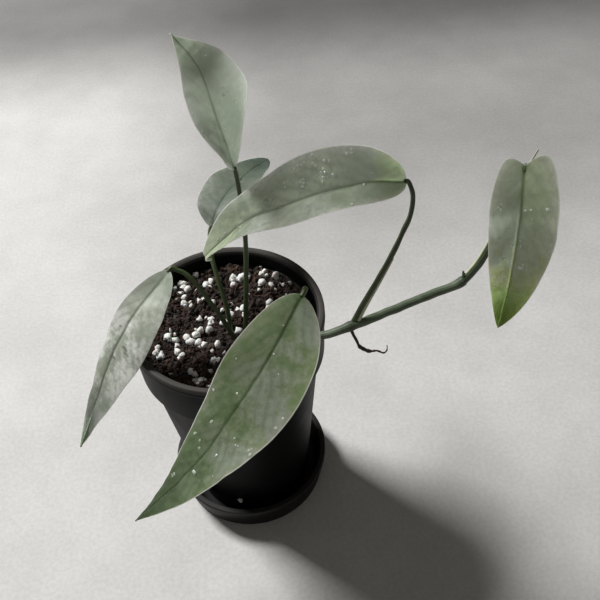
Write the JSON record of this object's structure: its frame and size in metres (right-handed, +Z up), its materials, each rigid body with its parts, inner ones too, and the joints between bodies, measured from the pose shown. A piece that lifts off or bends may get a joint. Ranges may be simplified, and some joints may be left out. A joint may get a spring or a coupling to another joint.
{
  "type": "potted pothos vine",
  "caption": "Blue-green pothos vine with narrow hanging leaves in a tall black pot on its saucer.",
  "frame": {"origin": "middle of the saucer's underside, on the pot's axis", "axes": "+Z up, -Y towards the picture's camera, +X along the vine that leaves the pot"},
  "size_m": [0.2339, 0.2129, 0.2794],
  "materials": {
    "pot": "matte charcoal black",
    "soil": "damp potting mix with white perlite",
    "stem": "satin green",
    "leaf": "satin silvery blue-green",
    "root": "dry brown",
    "sheath": "matte pale cream"
  },
  "bodies": {
    "root": {"saucer": "pot", "pot": "pot", "soil": "soil", "vine": "stem", "aerial_root": "root", "new_shoot": "sheath", "petiole_sheath": "sheath", "petiole_upright": "stem", "petiole_back": "stem", "petiole_left": "stem", "petiole_front": "stem", "petiole_arching": "stem", "petiole_trailing": "stem", "leaf_upright": "leaf", "leaf_back": "leaf", "leaf_left": "leaf", "leaf_front": "leaf", "leaf_arching": "leaf", "leaf_trailing": "leaf"}
  },
  "joints": []
}
